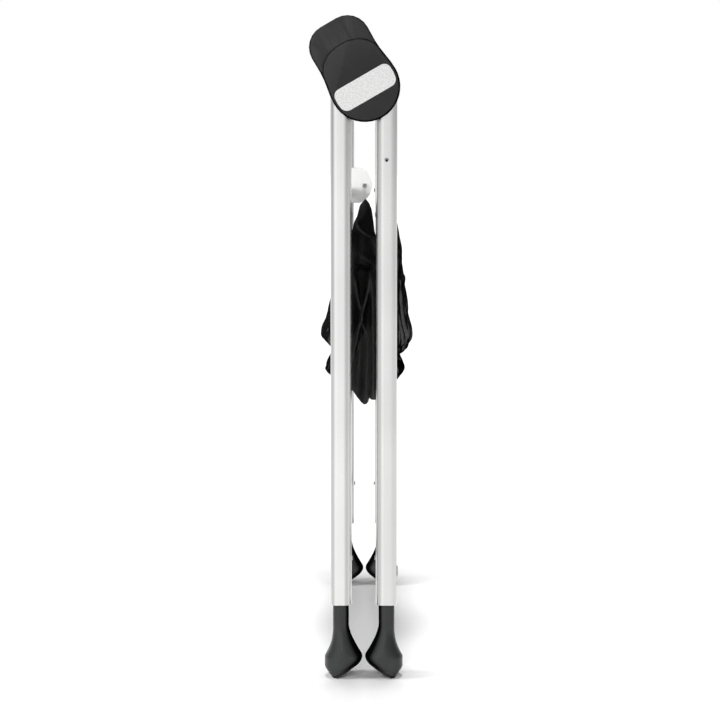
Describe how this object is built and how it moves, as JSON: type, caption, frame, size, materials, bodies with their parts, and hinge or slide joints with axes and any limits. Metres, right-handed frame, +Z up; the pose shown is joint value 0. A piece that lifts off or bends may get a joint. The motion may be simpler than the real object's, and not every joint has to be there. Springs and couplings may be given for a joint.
{
  "type": "bassinet stand",
  "caption": "Folding stand for a bassinet: paired aluminium legs hinged at tilted plastic hubs, slanted feet and a gathered black cloth basket, shown folded.",
  "frame": {"origin": "on the floor, midway between the four feet, under the hinge axis", "axes": "+Z up, +Y along the hinge axis from the near hub to the far hub, +X across the folded legs towards the right frame"},
  "size_m": [0.1287, 0.5766, 0.7932],
  "materials": {
    "hub_plastic": "fine moulded texture",
    "foot_plastic": "satin moulded",
    "pale_nylon": "satin",
    "sole_rubber": "matt",
    "badge_metal": "fine brushed, bare",
    "satin_aluminium": "satin anodised",
    "cast_alloy": "as cast",
    "zinc_steel": "zinc plated",
    "black_cloth": "plain woven, slight sheen"
  },
  "bodies": {
    "root": {"hub_cover_near": "hub_plastic", "hub_back_near": "hub_plastic", "hub_badge_near": "badge_metal", "hub_screw_left_near": "zinc_steel", "hub_screw_right_near": "zinc_steel", "post_core_near": "pale_nylon", "pivot_pin_near": "zinc_steel", "pivot_washer_near": "pale_nylon", "lock_spring_near": "zinc_steel", "hinge_fork_near": "cast_alloy", "leg_tube_left_near": "satin_aluminium", "leg_rivet_left_near": "satin_aluminium", "foot_left_near": "foot_plastic", "sole_pad_left_near": "sole_rubber", "basket_rail_rivet_left_near": "zinc_steel", "lower_bar_rivet_left_near": "zinc_steel", "hub_cover_far": "hub_plastic", "hub_back_far": "hub_plastic", "hub_badge_far": "badge_metal", "hub_screw_left_far": "zinc_steel", "hub_screw_right_far": "zinc_steel", "post_core_far": "pale_nylon", "pivot_pin_far": "zinc_steel", "pivot_washer_far": "pale_nylon", "lock_spring_far": "zinc_steel", "hinge_fork_far": "cast_alloy", "leg_tube_left_far": "satin_aluminium", "leg_rivet_left_far": "satin_aluminium", "foot_left_far": "foot_plastic", "sole_pad_left_far": "sole_rubber", "basket_rail_rivet_left_far": "zinc_steel", "lower_bar_rivet_left_far": "zinc_steel", "basket_rail_left": "zinc_steel", "lower_bar_left": "zinc_steel", "rail_keeper": "pale_nylon", "rail_keeper_rivet": "zinc_steel", "basket_left": "black_cloth", "basket_middle": "black_cloth"},
    "right_frame": {"hinge_tongue_near": "cast_alloy", "leg_tube_right_near": "satin_aluminium", "leg_rivet_right_near": "satin_aluminium", "foot_right_near": "foot_plastic", "sole_pad_right_near": "sole_rubber", "basket_rail_rivet_right_near": "zinc_steel", "lower_bar_rivet_right_near": "zinc_steel", "hinge_tongue_far": "cast_alloy", "leg_tube_right_far": "satin_aluminium", "leg_rivet_right_far": "satin_aluminium", "foot_right_far": "foot_plastic", "sole_pad_right_far": "sole_rubber", "basket_rail_rivet_right_far": "zinc_steel", "lower_bar_rivet_right_far": "zinc_steel", "basket_rail_right": "zinc_steel", "lower_bar_right": "zinc_steel", "basket_right": "black_cloth"},
    "lock_near": {"lock_pin_near": "zinc_steel", "release_button_near": "hub_plastic"},
    "lock_far": {"lock_pin_far": "zinc_steel", "release_button_far": "hub_plastic"}
  },
  "joints": [
    {"name": "leg_fold", "type": "hinge", "parent": "root", "child": "right_frame", "pos_m": [0, 0, 0.712], "axis": [0, -1, 0], "range_deg": [0, 60]},
    {"name": "lock_near_press", "type": "slide", "parent": "root", "child": "lock_near", "axis": [0, -1, 0], "range_m": [0, 0.003], "stiffness_N_per_m": 800, "springref_m": -0.003, "deforming": ["lock_spring_near"]},
    {"name": "lock_far_press", "type": "slide", "parent": "root", "child": "lock_far", "axis": [0, 1, 0], "range_m": [0, 0.003], "stiffness_N_per_m": 800, "springref_m": -0.003, "deforming": ["lock_spring_far"]}
  ]
}
